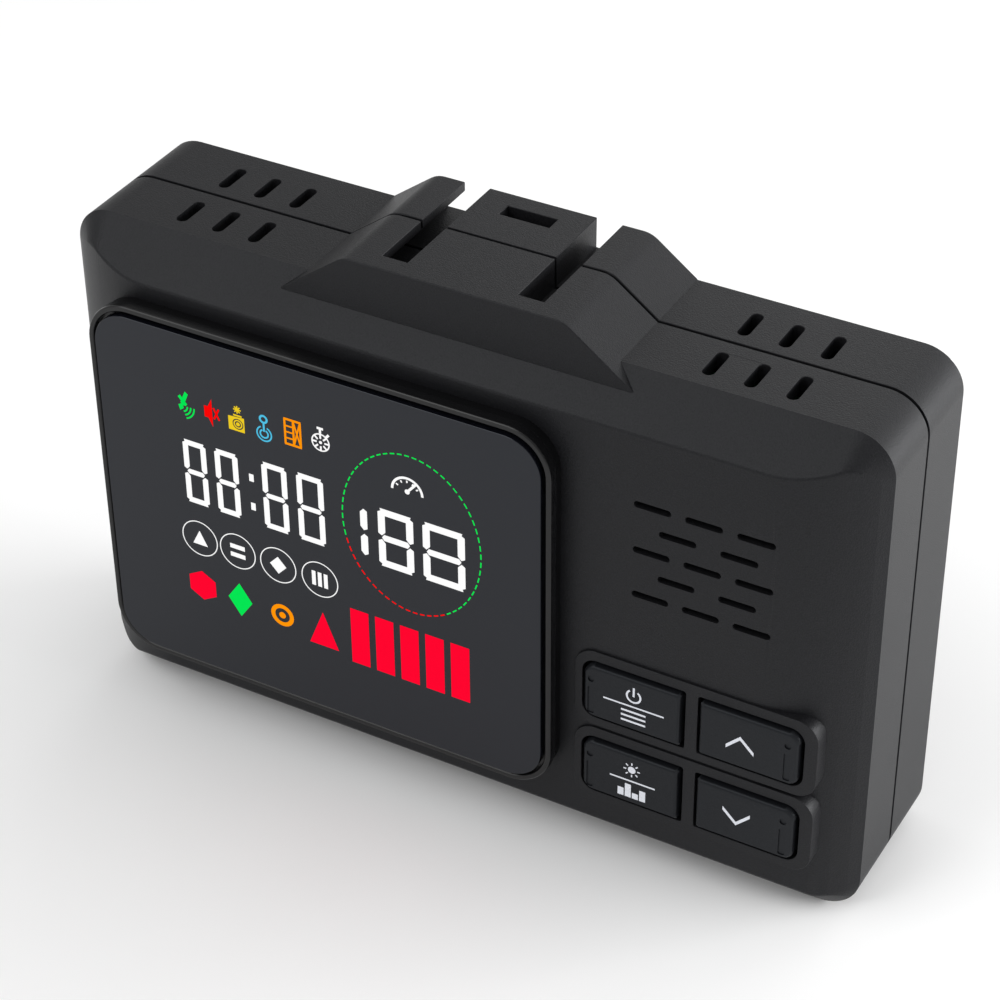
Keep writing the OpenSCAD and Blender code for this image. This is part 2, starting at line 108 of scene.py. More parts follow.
class ScreenLooks(bpy.types.PropertyGroup):
    """The window and the marks that light up behind it"""
    window: FloatVectorProperty(name="Window", description="Colour of the dark window",
                                subtype="COLOR", default=(0.0042, 0.0045, 0.0068), min=0, max=1)
    window_roughness: FloatProperty(name="Window roughness", description="Roughness of the window",
                                    subtype="FACTOR", default=0.16, min=0, max=1)
    red: FloatVectorProperty(name="Red", description="Colour of the red marks",
                             subtype="COLOR", default=(1.0, 0.0, 0.026), min=0, max=1)
    scarlet: FloatVectorProperty(name="Scarlet", description="Colour of the small scarlet marks",
                                 subtype="COLOR", default=(0.95, 0.0, 0.0), min=0, max=1)
    green: FloatVectorProperty(name="Green", description="Colour of the green marks",
                               subtype="COLOR", default=(0.0, 0.78, 0.085), min=0, max=1)
    orange: FloatVectorProperty(name="Orange", description="Colour of the orange marks",
                                subtype="COLOR", default=(1.0, 0.30, 0.0), min=0, max=1)
    yellow: FloatVectorProperty(name="Yellow", description="Colour of the yellow mark",
                                subtype="COLOR", default=(0.85, 0.60, 0.015), min=0, max=1)
    cyan: FloatVectorProperty(name="Cyan", description="Colour of the cyan mark",
                              subtype="COLOR", default=(0.08, 0.53, 0.78), min=0, max=1)
    white: FloatVectorProperty(name="White", description="Colour of the white marks",
                               subtype="COLOR", default=(1.0, 1.0, 1.0), min=0, max=1)
    legend: FloatVectorProperty(name="Legends", description="Colour of the printed button legends",
                                subtype="COLOR", default=(0.72, 0.74, 0.80), min=0, max=1)
    mark_height: FloatProperty(name="Mark height", description="How far the marks stand on the window",
                               unit="LENGTH", default=0.00002, min=0.00001, max=0.0001)
    ring_dashes: IntProperty(name="Ring dashes", description="Dashes in the ring round the speed",
                             default=60, min=12, max=120)


class StudioLooks(bpy.types.PropertyGroup):
    """The camera, the floor and the lights"""
    lens: FloatProperty(name="Lens", description="Focal length of the camera, in millimetres",
                        default=103.206, min=20, max=300)
    place: FloatVectorProperty(name="Camera place", description="Where the camera stands",
                               unit="LENGTH", subtype="TRANSLATION", default=(0.12971, -0.22766, 0.22686))
    turn: FloatVectorProperty(name="Camera turn", description="Azimuth, elevation and roll of the camera",
                              subtype="EULER", default=(math.radians(29.417), math.radians(36.041),
                                                        math.radians(-0.538)))
    floor: FloatVectorProperty(name="Floor", description="Colour of the floor",
                               subtype="COLOR", default=(0.93, 0.93, 0.93), min=0, max=1)
    sky: FloatProperty(name="Sky", description="Strength of the even light from all round",
                       default=0.61, min=0, max=4)


GROUPS = {"detector_case": CaseLooks, "detector_screen": ScreenLooks, "detector_studio": StudioLooks}


def looks(name):
    return getattr(bpy.context.scene, "detector_" + name)


# ---- shader groups ----

def new_group(name, inputs, outputs):
    """A shader node group with its sockets, and its two end nodes."""
    group = bpy.data.node_groups.new(name, "ShaderNodeTree")
    for direction, sockets in (("INPUT", inputs), ("OUTPUT", outputs)):
        for label, kind, value in sockets:
            socket = group.interface.new_socket(name=label, in_out=direction, socket_type=kind)
            if value is not None:
                socket.default_value = value
    return group, group.nodes.new("NodeGroupInput"), group.nodes.new("NodeGroupOutput")


def add(tree, kind, values=None, **settings):
    """A node with its settings, its constant inputs and its links."""
    node = tree.nodes.new(kind)
    for key, value in settings.items():
        setattr(node, key, value)
    for key, value in (values or {}).items():
        if isinstance(value, bpy.types.NodeSocket):
            tree.links.new(value, node.inputs[key])
        else:
            node.inputs[key].default_value = value
    return node


def result(node, key=0):
    return node.outputs[key]


def moulded_grain():
    """A fine moulded grain with faint cloudy patches: a colour, a roughness and a height."""
    group = bpy.data.node_groups.get("Moulded grain")
    if group:
        return group
    group, start, end = new_group(
        "Moulded grain",
        [("Place", "NodeSocketVector", None), ("Colour", "NodeSocketColor", (0.01, 0.01, 0.01, 1)),
         ("Speckle", "NodeSocketFloat", 0.3), ("Cloud", "NodeSocketFloat", 0.1),
         ("Roughness", "NodeSocketFloat", 0.45), ("Unevenness", "NodeSocketFloat", 0.06),
         ("Grain scale", "NodeSocketFloat", 5000.0)],
        [("Colour", "NodeSocketColor", None), ("Roughness", "NodeSocketFloat", None),
         ("Height", "NodeSocketFloat", None)])
    place = start.outputs["Place"]
    fine = result(add(group, "ShaderNodeTexNoise", {"Vector": place, "Scale": start.outputs["Grain scale"],
                                                    "Detail": 2.0, "Roughness": 0.6}))
    cloud = result(add(group, "ShaderNodeTexNoise", {"Vector": place, "Scale": 70.0, "Detail": 3.0}))
    signed = [result(add(group, "ShaderNodeMath", {0: value, 1: 0.5}, operation="SUBTRACT"))
              for value in (fine, cloud)]
    speck = result(add(group, "ShaderNodeMath", {0: signed[0], 1: start.outputs["Speckle"], 2: 1.0},
                       operation="MULTIPLY_ADD"))
    shade = result(add(group, "ShaderNodeMath", {0: signed[1], 1: start.outputs["Cloud"], 2: speck},
                       operation="MULTIPLY_ADD"))
    colour = add(group, "ShaderNodeVectorMath", {0: start.outputs["Colour"], "Scale": shade},
                 operation="SCALE")
    rough = add(group, "ShaderNodeMath", {0: signed[1], 1: start.outputs["Unevenness"],
                                          2: start.outputs["Roughness"]}, operation="MULTIPLY_ADD")
    group.links.new(result(colour), end.inputs["Colour"])
    group.links.new(result(rough), end.inputs["Roughness"])
    group.links.new(fine, end.inputs["Height"])
    return group


def drawn_metal():
    """Fine parallel drawing marks with small stains: a colour, a roughness and a height."""
    group = bpy.data.node_groups.get("Drawn metal")
    if group:
        return group
    group, start, end = new_group(
        "Drawn metal",
        [("Place", "NodeSocketVector", None), ("Colour", "NodeSocketColor", (0.5, 0.5, 0.5, 1)),
         ("Roughness", "NodeSocketFloat", 0.3), ("Stretch", "NodeSocketVector", (1.0, 1.0, 12.0))],
        [("Colour", "NodeSocketColor", None), ("Roughness", "NodeSocketFloat", None),
         ("Height", "NodeSocketFloat", None)])
    drawn = result(add(group, "ShaderNodeVectorMath",
                       {0: start.outputs["Place"], 1: start.outputs["Stretch"]}, operation="MULTIPLY"))
    lines = result(add(group, "ShaderNodeTexNoise", {"Vector": drawn, "Scale": 900.0, "Detail": 3.0}))
    stain = result(add(group, "ShaderNodeTexNoise", {"Vector": start.outputs["Place"], "Scale": 140.0}))
    shade = result(add(group, "ShaderNodeMath", {0: stain, 1: 0.35, 2: 0.82}, operation="MULTIPLY_ADD"))
    colour = add(group, "ShaderNodeVectorMath", {0: start.outputs["Colour"], "Scale": shade},
                 operation="SCALE")
    rough = add(group, "ShaderNodeMath", {0: lines, 1: 0.22, 2: start.outputs["Roughness"]},
                operation="MULTIPLY_ADD")
    group.links.new(result(colour), end.inputs["Colour"])
    group.links.new(result(rough), end.inputs["Roughness"])
    group.links.new(lines, end.inputs["Height"])
    return group


def circuit_tracks():
    """Solder mask with raised copper tracks and small pads: a colour, a roughness and a height."""
    group = bpy.data.node_groups.get("Circuit tracks")
    if group:
        return group
    group, start, end = new_group(
        "Circuit tracks",
        [("Place", "NodeSocketVector", None), ("Mask", "NodeSocketColor", (0.01, 0.08, 0.03, 1)),
         ("Track", "NodeSocketColor", (0.03, 0.16, 0.06, 1)),
         ("Pad", "NodeSocketColor", (0.6, 0.45, 0.2, 1))],
        [("Colour", "NodeSocketColor", None), ("Roughness", "NodeSocketFloat", None),
         ("Height", "NodeSocketFloat", None)])
    place = start.outputs["Place"]
    cells = add(group, "ShaderNodeTexVoronoi", {"Vector": place, "Scale": 260.0, "Randomness": 0.35},
                distance="CHEBYCHEV", feature="F1")
    distance = cells.outputs["Distance"]
    gaps = result(add(group, "ShaderNodeMath", {0: distance, 1: 0.36}, operation="GREATER_THAN"))
    pads = result(add(group, "ShaderNodeMath", {0: distance, 1: 0.09}, operation="LESS_THAN"))
    base = add(group, "ShaderNodeMixRGB", {0: gaps, 1: start.outputs["Mask"], 2: start.outputs["Track"]})
    final = add(group, "ShaderNodeMixRGB", {0: pads, 1: result(base), 2: start.outputs["Pad"]})
    rough = add(group, "ShaderNodeMath", {0: pads, 1: -0.12, 2: 0.4}, operation="MULTIPLY_ADD")
    group.links.new(result(final), end.inputs["Colour"])
    group.links.new(result(rough), end.inputs["Roughness"])
    group.links.new(gaps, end.inputs["Height"])
    return group


# ---- materials ----

def material(name, group, inputs, bump=0.0, **shader):
    """A material whose colour, roughness and bump come from a shared group on Object coordinates."""
    made = bpy.data.materials.get(name)
    if made:
        return made
    made = bpy.data.materials.new(name)
    made.use_nodes = True
    tree = made.node_tree
    principled = tree.nodes["Principled BSDF"]
    place = add(tree, "ShaderNodeTexCoord").outputs["Object"]
    effect = add(tree, "ShaderNodeGroup", node_tree=group)
    tree.links.new(place, effect.inputs["Place"])
    for key, value in inputs.items():
        if key in ("Colour", "Mask", "Track", "Pad"):
            value = (*value[:3], 1)
        effect.inputs[key].default_value = value
    tree.links.new(effect.outputs["Colour"], principled.inputs["Base Color"])
    tree.links.new(effect.outputs["Roughness"], principled.inputs["Roughness"])
    if bump:
        bumped = add(tree, "ShaderNodeBump", {"Height": effect.outputs["Height"], "Distance": bump,
                                              "Strength": 1.0})
        tree.links.new(result(bumped), principled.inputs["Normal"])
    for key, value in shader.items():
        principled.inputs[key.replace("_", " ")].default_value = value
    return made


def plastic(name, colour, roughness, grain=3000.0, bump=1e-5, speckle=0.3, cloud=0.1, uneven=0.06, **shader):
    return material(name, moulded_grain(),
                    {"Colour": colour, "Roughness": roughness, "Grain scale": grain, "Speckle": speckle,
                     "Cloud": cloud, "Unevenness": uneven}, bump, **shader)


def metal(name, colour, roughness, stretch=(1, 1, 12)):
    return material(name, drawn_metal(), {"Colour": colour, "Roughness": roughness, "Stretch": stretch},
                    4e-6, Metallic=1.0)


def case_plastic():
    case = looks("case")
    return plastic("Moulded case", case.colour, case.roughness, case.grain_scale, 4.2e-5, 1.9, 0.12, 0.05,
                   Specular_IOR_Level=case.specular, Specular_Tint=(0.95, 0.97, 1.0, 1))


def glow(name, colour):
    """Lit marks: a colour that varies a little over the surface, as a lit film does."""
    made = bpy.data.materials.get(name)
    if made:
        return made
    made = plastic(name, (0.002, 0.002, 0.002), 0.6, 1500.0, 0.0)
    tree = made.node_tree
    principled = tree.nodes["Principled BSDF"]
    effect = add(tree, "ShaderNodeGroup", node_tree=moulded_grain())
    effect.inputs["Colour"].default_value = (*colour[:3], 1)
    effect.inputs["Speckle"].default_value = 0.08
    effect.inputs["Cloud"].default_value = 0.05
    effect.inputs["Grain scale"].default_value = 2500.0
    place = next(n for n in tree.nodes if n.type == "TEX_COORD").outputs["Object"]
    tree.links.new(place, effect.inputs["Place"])
    tree.links.new(effect.outputs["Colour"], principled.inputs["Emission Color"])
    principled.inputs["Emission Strength"].default_value = 1.0
    principled.inputs["Specular IOR Level"].default_value = 0.0
    return made


# ---- making pieces ----

def finished(name, bm, body, surface, smooth=True, sharp=SHARP):
    """Makes a mesh object from bm at the origin, marks its sharp edges and lets it ride on a body."""
    mesh = bpy.data.meshes.new(name)
    for face in bm.faces:
        face.smooth = smooth
    for edge in bm.edges:
        edge.smooth = edge.is_manifold and abs(edge.calc_face_angle(0)) < sharp
    bm.to_mesh(mesh)
    bm.free()
    mesh.materials.append(surface)
    piece = bpy.data.objects.new(name, mesh)
    bpy.context.scene.collection.objects.link(piece)
    if smooth:
        weighted = piece.modifiers.new("Even shading", "WEIGHTED_NORMAL")
        weighted.keep_sharp = True
        weighted.weight = 80
    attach(piece, body)
    return piece


def soft_copy(name, nodes, body, surface, width_of, segments=3, sharp=SHARP):
    """A copy of CAD nodes with rounded outer edges. width_of gives each convex edge's rounding, in metres."""
    whole = bmesh.new()
    for node in nodes:
        bm = bmesh.new()
        bm.from_mesh(NODES[node].data)
        bmesh.ops.remove_doubles(bm, verts=bm.verts, dist=MERGE)
        bmesh.ops.dissolve_limit(bm, angle_limit=FLAT, verts=bm.verts, edges=bm.edges, delimit=set())
        layer = bm.edges.layers.float.new("bevel_weight_edge")
        widths = {}
        for edge in bm.edges:
            if edge.is_manifold and edge.calc_face_angle_signed(0) > SHARP:
                low = Vector(map(min, *(v.co for v in edge.verts))) / MM
                high = Vector(map(max, *(v.co for v in edge.verts))) / MM
                widths[edge] = width_of(node, low, high)
        widest = max(max(widths.values()), MERGE)
        for edge, width in widths.items():
            edge[layer] = width / widest
        mesh = bpy.data.meshes.new(name + "_start")
        bm.to_mesh(mesh)
        bm.free()
        start = bpy.data.objects.new(name + "_start", mesh)
        bpy.context.scene.collection.objects.link(start)
        if widest > MERGE:
            rounding = start.modifiers.new("Rounded edges", "BEVEL")
            rounding.limit_method = "WEIGHT"
            rounding.width = widest
            rounding.segments = segments
            rounding.use_clamp_overlap = False
            rounding.loop_slide = True
        bpy.context.view_layer.update()
        shaped = start.evaluated_get(bpy.context.evaluated_depsgraph_get())
        whole.from_mesh(shaped.to_mesh())
        shaped.to_mesh_clear()
        bpy.data.objects.remove(start)
        bpy.data.meshes.remove(mesh)
    bmesh.ops.dissolve_degenerate(whole, dist=5e-8, edges=whole.edges)
    piece = finished(name, whole, body, surface, sharp=sharp)
    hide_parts(*nodes)
    return piece


class Plates:
    """Thin flat shapes drawn in X and Z, in millimetres, that all lie between two depths."""

    def __init__(self, front, back):
        self.bm = bmesh.new()
        self.front = front * MM
        self.back = back * MM

    def _thicken(self, faces):
        out = bmesh.ops.extrude_face_region(self.bm, geom=faces)
        moved = [v for v in out["geom"] if isinstance(v, bmesh.types.BMVert)]
        bmesh.ops.translate(self.bm, verts=moved, vec=(0, self.front - self.back, 0))

    def poly(self, *points):
        corners = [self.bm.verts.new((x * MM, self.back, z * MM)) for x, z in points]
        self._thicken([self.bm.faces.new(corners)])

    def rect(self, x0, z0, x1, z1):
        self.poly((x0, z0), (x1, z0), (x1, z1), (x0, z1))

    def line(self, x0, z0, x1, z1, width):
        """A straight stroke from one point to another."""
        along = Vector((x1 - x0, z1 - z0)).normalized() * width / 2
        side = Vector((-along.y, along.x))
        self.poly((x0 + side.x, z0 + side.y), (x0 - side.x, z0 - side.y),
                  (x1 - side.x, z1 - side.y), (x1 + side.x, z1 + side.y))

    def disc(self, x, z, radius, steps=20):
        out = bmesh.ops.create_circle(
            self.bm, cap_ends=True, segments=steps, radius=radius * MM,
            matrix=Matrix.Translation((x * MM, self.back, z * MM)) @ Matrix.Rotation(math.pi / 2, 4, "X"))
        self._thicken(list({f for v in out["verts"] for f in v.link_faces}))

    def arc(self, x, z, inner, outer, first=0.0, last=360.0, steps=36):
        """Part of a ring, or all of it, from angle first to last, counted from +X towards +Z."""
        centre = Vector((x * MM, self.back, z * MM))
        turn = Matrix.Rotation(-math.radians(first), 3, "Y")
        ends = [self.bm.verts.new(centre + turn @ Vector((r * MM, 0, 0))) for r in (inner, outer)]
        edge = self.bm.edges.new(ends)
        before = set(self.bm.faces)
        bmesh.ops.spin(self.bm, geom=[*ends, edge], cent=centre, axis=(0, 1, 0),
                       angle=-math.radians(last - first), steps=steps, use_merge=last - first >= 360)
        self._thicken([f for f in self.bm.faces if f not in before])

    def finish(self, name, body, surface):
        bmesh.ops.recalc_face_normals(self.bm, faces=self.bm.faces)
        return finished(name, self.bm, body, surface, smooth=False)


# ---- the marks on the window ----

def digit(plates, x0, x1, z0, z1, segments, width=0.55):
    """A seven-segment figure. Segments: a top, b c right, d bottom, e f left, g middle."""
    mid = (z0 + z1) / 2
    gap = 0.26
    half = width / 2
    bars = {"a": (z1 - half, 1), "g": (mid, 0), "d": (z0 + half, -1)}
    for key, (z, side) in bars.items():
        if key in segments:
            left, right = x0 + width * 0.82, x1 - width * 0.82
            if side:
                plates.poly((left - half, z + side * half), (right + half, z + side * half),
                            (right + half * 0.4, z - side * half), (left - half * 0.4, z - side * half))
            else:
                plates.poly((left - half * 0.6, z), (left, z + half * 0.9), (right, z + half * 0.9),
                            (right + half * 0.6, z), (right, z - half * 0.9), (left, z - half * 0.9))
    posts = {"f": (x0 + half, mid, z1), "b": (x1 - half, mid, z1),
             "e": (x0 + half, z0, mid), "c": (x1 - half, z0, mid)}
    for key, (x, low, high) in posts.items():
        if key in segments:
            inner = 1 if key in "fe" else -1
            bottom, top = low + gap + half * 0.6, high - gap - half * 0.6
            plates.poly((x - inner * half, bottom), (x, bottom - half * 0.6),
                        (x + inner * half, bottom + half * 0.5), (x + inner * half, top - half * 0.5),
                        (x, top + half * 0.6), (x - inner * half, top))


def satellite(plates):
    plates.poly((-32.0, 47.3), (-31.6, 46.9), (-30.9, 48.6), (-31.3, 48.9))
    plates.poly((-32.3, 46.9), (-32.1, 46.2), (-31.6, 46.6), (-31.8, 47.2))
    plates.poly((-32.3, 48.0), (-32.0, 48.3), (-31.1, 47.2), (-31.4, 46.9))
    for radius in (0.7, 1.15, 1.6):
        plates.arc(-31.9, 46.9, radius, radius + 0.2, -70, 0, 6)


def muted_speaker(plates):
    plates.rect(-28.8, 46.4, -28.3, 47.9)
    plates.poly((-28.3, 46.4), (-27.75, 45.3), (-27.75, 49.0), (-28.3, 47.9))
    plates.line(-27.55, 46.4, -26.85, 47.9, 0.24)
    plates.line(-27.55, 47.9, -26.85, 46.4, 0.24)


def camera_mark(plates):
    """A camera body round a lens, with a flash over it."""
    x, z = -24.35, 46.75
    corners = {0: (-23.5, 47.75), 90: (-25.6, 47.6), 180: (-25.6, 45.8), 270: (-23.5, 45.8)}
    for first, corner in corners.items():
        rim = [(x + 0.72 * math.cos(math.radians(a)), z + 0.72 * math.sin(math.radians(a)))
               for a in range(first, first + 91, 15)]
        joint = {0: (x, 47.7), 90: (-25.6, z), 180: (x, 45.8), 270: (-23.5, z)}[first]
        before = {0: (-23.5, z), 90: (x, 47.7), 180: (-25.6, z), 270: (x, 45.8)}[first]
        plates.poly(before, corner, joint, *reversed(rim))
    plates.arc(x, z, 0.42, 0.58, steps=16)
    plates.disc(x, z, 0.26, 10)
    plates.rect(-24.9, 47.8, -23.8, 48.0)
    for angle in range(0, 180, 45):
        c, s = 0.5 * math.cos(math.radians(angle)), 0.5 * math.sin(math.radians(angle))
        plates.line(x - c, 48.7 - s, x + c, 48.7 + s, 0.16)


def target_mark(plates):
    plates.arc(-20.9, 48.55, 0.32, 0.58, steps=16)
    plates.line(-20.9, 48.0, -20.9, 46.9, 0.24)
    plates.arc(-20.9, 46.6, 0.42, 0.62, 115, 425, 16)
    plates.arc(-20.9, 46.6, 0.86, 1.04, 115, 425, 20)


def map_mark(plates):
    for z in (46.3, 49.6):
        plates.rect(-18.2, z - 0.14, -16.0, z + 0.14)
    for x in (-18.1, -17.0, -16.1):
        plates.rect(x - 0.13, 46.3, x + 0.13, 49.6)
    for z in (47.1, 47.9, 48.7):
        plates.rect(-18.0, z - 0.1, -17.1, z + 0.1)
    plates.line(-16.95, 46.5, -16.15, 49.4, 0.2)
    plates.line(-16.95, 49.4, -16.15, 46.5, 0.2)


def stopwatch(plates):
    plates.arc(-13.5, 47.9, 1.02, 1.18, steps=28)
    plates.disc(-13.5, 47.9, 0.2, 10)
    for angle in range(0, 360, 45):
        c, s = math.cos(math.radians(angle)), math.sin(math.radians(angle))
        plates.line(-13.5 + 0.5 * c, 47.9 + 0.5 * s, -13.5 + 1.05 * c, 47.9 + 1.05 * s, 0.22)
    plates.rect(-13.64, 49.1, -13.36, 49.6)
    plates.rect(-13.9, 49.6, -13.1, 49.9)
    plates.line(-12.75, 48.8, -12.4, 49.2, 0.3)


def clock(plates):
    for x0, x1, z1, z0 in ((-32.2, -29.1, 42.3, 33.6), (-27.9, -24.8, 42.4, 33.6),
                           (-21.6, -18.3, 42.7, 33.6), (-17.0, -13.5, 42.8, 33.6)):
        digit(plates, x0, x1, z0, z1, "abcdefg", 0.72)
    for z in (35.9, 39.9):
        plates.rect(-23.35, z - 0.5, -22.75, z + 0.5)


def circled_marks(plates):
    """Four thin rings, each round a plain geometric mark."""
    for x in (-30.9, -25.7, -20.2, -14.6):
        plates.arc(x, 28.6, 2.32, 2.44, steps=48)
    plates.poly((-31.9, 27.7), (-29.9, 27.7), (-30.9, 29.7))
    plates.rect(-26.7, 28.9, -24.7, 29.5)
    plates.rect(-26.7, 27.7, -24.7, 28.3)
    plates.poly((-21.3, 28.6), (-20.2, 27.4), (-19.1, 28.6), (-20.2, 29.8))
    for x in (-15.4, -14.6, -13.8):
        plates.rect(x - 0.25, 27.6, x + 0.25, 29.6)


def speed(plates):
    for x0, x1, z0, z1, parts in ((-9.6, -7.9, 34.1, 41.0, "bc"), (-6.5, -2.0, 33.7, 41.6, "abcdefg"),
                                  (-0.8, 4.5, 33.8, 41.7, "abcdefg")):
        digit(plates, x0, x1, z0, z1, parts, 0.9)


def gauge_mark(plates):
    """A small dial with a needle, over the speed."""
    plates.arc(-2.6, 44.9, 1.75, 2.05, 0, 180, 20)
    plates.line(-2.6, 45.0, -1.5, 46.3, 0.3)
    plates.disc(-2.6, 45.0, 0.32, 12)
    for angle in (30, 60, 90, 120, 150):
        c, s = math.cos(math.radians(angle)), math.sin(math.radians(angle))
        plates.line(-2.6 + 1.3 * c, 44.9 + 1.3 * s, -2.6 + 1.6 * c, 44.9 + 1.6 * s, 0.18)


def dashes(plates, first, last):
    """Dashes of the ring round the speed, from angle first to last."""
    count = looks("screen").ring_dashes
    for i in range(count):
        angle = 360 * i / count
        if first <= angle < last:
            middle = math.radians(angle + 90 / count)
            plates.line(-2.3 + 8.8 * math.cos(middle - 0.033), 39.15 + 10.65 * math.sin(middle - 0.033),
                        -2.3 + 8.8 * math.cos(middle + 0.033), 39.15 + 10.65 * math.sin(middle + 0.033), 0.16)


def band_marks_red(plates):
    """The hexagon and the triangle in the row of four band marks."""
    plates.poly(*((-31.05 + 2.1 * math.cos(math.radians(a)), 21.7 + 2.1 * math.sin(math.radians(a)))
                  for a in range(30, 390, 60)))
    plates.poly((-16.4, 19.0), (-12.5, 19.0), (-14.45, 23.9))


def band_mark_green(plates):
    plates.poly((-25.85, 23.9), (-24.2, 21.5), (-25.85, 19.1), (-27.5, 21.5))


def band_mark_orange(plates):
    plates.arc(-20.05, 21.4, 1.0, 1.55, steps=24)
    plates.disc(-20.05, 21.4, 0.45, 12)


def strength_bars(plates):
    for i in range(5):
        x = -10.7 + i * 3.28
        plates.rect(x, 18.2, x + 2.4, 26.0)


# ---- operators ----

class DETECTOR_OT_stage(bpy.types.Operator):
    """Makes the camera, the pale floor and the soft studio light"""
    bl_idname = "detector.stage"
    bl_label = "Stage"

    def execute(self, context):
        studio = looks("studio")
        scene = context.scene
        azimuth, elevation, roll = studio.turn
        ahead = Vector((-math.sin(azimuth) * math.cos(elevation), math.cos(azimuth) * math.cos(elevation),
                        -math.sin(elevation)))
        right = ahead.cross(Vector((0, 0, 1))).normalized()
        up = right.cross(ahead)
        turned = (right * math.cos(roll) + up * math.sin(roll),
                  up * math.cos(roll) - right * math.sin(roll), -ahead)
        data = bpy.data.cameras.new("Camera")
        data.lens = studio.lens
        data.clip_start = 0.01
        data.clip_end = 20
        camera = bpy.data.objects.new("Camera", data)
        scene.collection.objects.link(camera)
        camera.matrix_world = Matrix.Translation(studio.place) @ Matrix(turned).transposed().to_4x4()
        scene.camera = camera
        scene.view_settings.view_transform = "Standard"

        bm = bmesh.new()
        bmesh.ops.create_grid(bm, x_segments=1, y_segments=1, size=6)
        mesh = bpy.data.meshes.new("Floor")
        bm.to_mesh(mesh)
        bm.free()
        mesh.materials.append(plastic("Pale floor", studio.floor, 0.85, 40.0, 0.0, 0.02, 0.01, 0.05))
        floor = bpy.data.objects.new("Floor", mesh)
        scene.collection.objects.link(floor)

        world = bpy.data.worlds.new("Studio")
        world.use_nodes = True
        background = world.node_tree.nodes["Background"]
        background.inputs["Color"].default_value = (1, 1, 1, 1)
        background.inputs["Strength"].default_value = studio.sky
        scene.world = world
        for name, place, aim, size, power in (
                ("Right box", (0.55, 0.20, 0.14), (0.05, 0.02, 0.03), (0.5, 0.24), 4.2),
                ("Back box", (0.22, 0.85, 0.5), (0, 0, 0.05), (1.5, 0.5), 3.3),
                ("Front box", (-0.35, -0.5, 0.6), (-0.1, -0.15, 0.0), (0.6, 0.6), 2.7)):
            light = bpy.data.lights.new(name, "AREA")
            light.shape = "RECTANGLE"
            light.size, light.size_y = size
            light.energy = power
            lamp = bpy.data.objects.new(name, light)
            scene.collection.objects.link(lamp)
            lamp.location = place
            lamp.rotation_euler = (Vector(aim) - Vector(place)).to_track_quat("-Z", "Y").to_euler()
        return {"FINISHED"}


def in_area(area, low, high):
    """Whether an edge lies wholly inside an area of the front: left, right, bottom and top."""
    left, right, bottom, top = area
    return low.x > left and high.x < right and low.z > bottom and high.z < top


def front_width(node, low, high):
    """How much each outer edge of the front half is rounded, in metres."""
    case = looks("case")
    if node == "bracket_rail_front":
        # the edges where the rail block meets the cover under it stay sharp
        on_cover = all(abs(z - min(TOP_Z, TOP_Z - RIM_Y + y)) < CLOSE
                       for y, z in ((low.y, low.z), (high.y, high.z)))
        if on_cover or high.z < TOP_Z - 2.5:
            return 0.0
        if low.y > SEAM_Y - 0.5:
            return case.fine_edge
        on_tongue = abs(low.x) < TONGUE_X and low.z > TOP_Z + 0.3 and low.y > RIM_Y
        return case.fine_edge if on_tongue else case.outer_edge
    if in_area(BUTTON_AREA, low, high) or in_area(GRILLE_AREA, low, high):
        return case.fine_edge
    if low.z > TOP_Z - CLOSE and low.y > RIM_Y + 1:
        # the vents, and past them the edge at the seam
        return case.fine_edge if high.y < SEAM_Y - 1 else case.outer_edge
    if abs(low.y - high.y) < CLOSE and high.y > SEAM_Y - 1:
        outside = max(abs(low.x), abs(high.x)) > HALF_W - 5.5 or high.z > TOP_Z - 0.1
        return case.outer_edge if outside else 0.0
    if high.y <= RIM_Y + 0.1:
        # one small width along the rim and the ridge: wide rounding in steps left notches in it
        outside = high.z > TOP_Z - 5.5 or low.z < 5.5 or max(abs(low.x), abs(high.x)) > 37
        return case.rim_edge if outside else 0.0
    return 0.0


def rear_width(node, low, high):
    """How much each outer edge of the rear half is rounded, in metres."""
    case = looks("case")
    if node == "bracket_rail_rear":
        if high.z < TOP_Z + CLOSE:
            return 0.0
        return case.outer_edge if abs(low.x) > TONGUE_X or low.y > BACK_Y - 1 else case.fine_edge
    if low.y > BACK_Y - 1.2:
        # the bevel round the back stays plain: rounding it left dark shapes on the back
        round_back = (max(abs(low.x), abs(high.x)) > HALF_W - 1.3 or high.z < 1.3
                      or low.z > TOP_Z - 1.3)
        return 0.0 if round_back else case.fine_edge
    outer = max(abs(low.x), abs(high.x)) > HALF_W - 0.6 or low.z > TOP_Z - 0.1 or high.z < 0.1
    return case.fine_edge if outer else 0.0


class DETECTOR_OT_case(bpy.types.Operator):
    """Makes the two halves of the case, each with its half of the bracket rails"""
    bl_idname = "detector.case"
    bl_label = "Case"

    def execute(self, context):
        soft_copy("case_front", ["front_cover", "bracket_rail_front"], "root", case_plastic(),
                  front_width)
        soft_copy("case_rear", ["rear_cover", "bracket_rail_rear"], "root", case_plastic(),
                  rear_width)
        return {"FINISHED"}


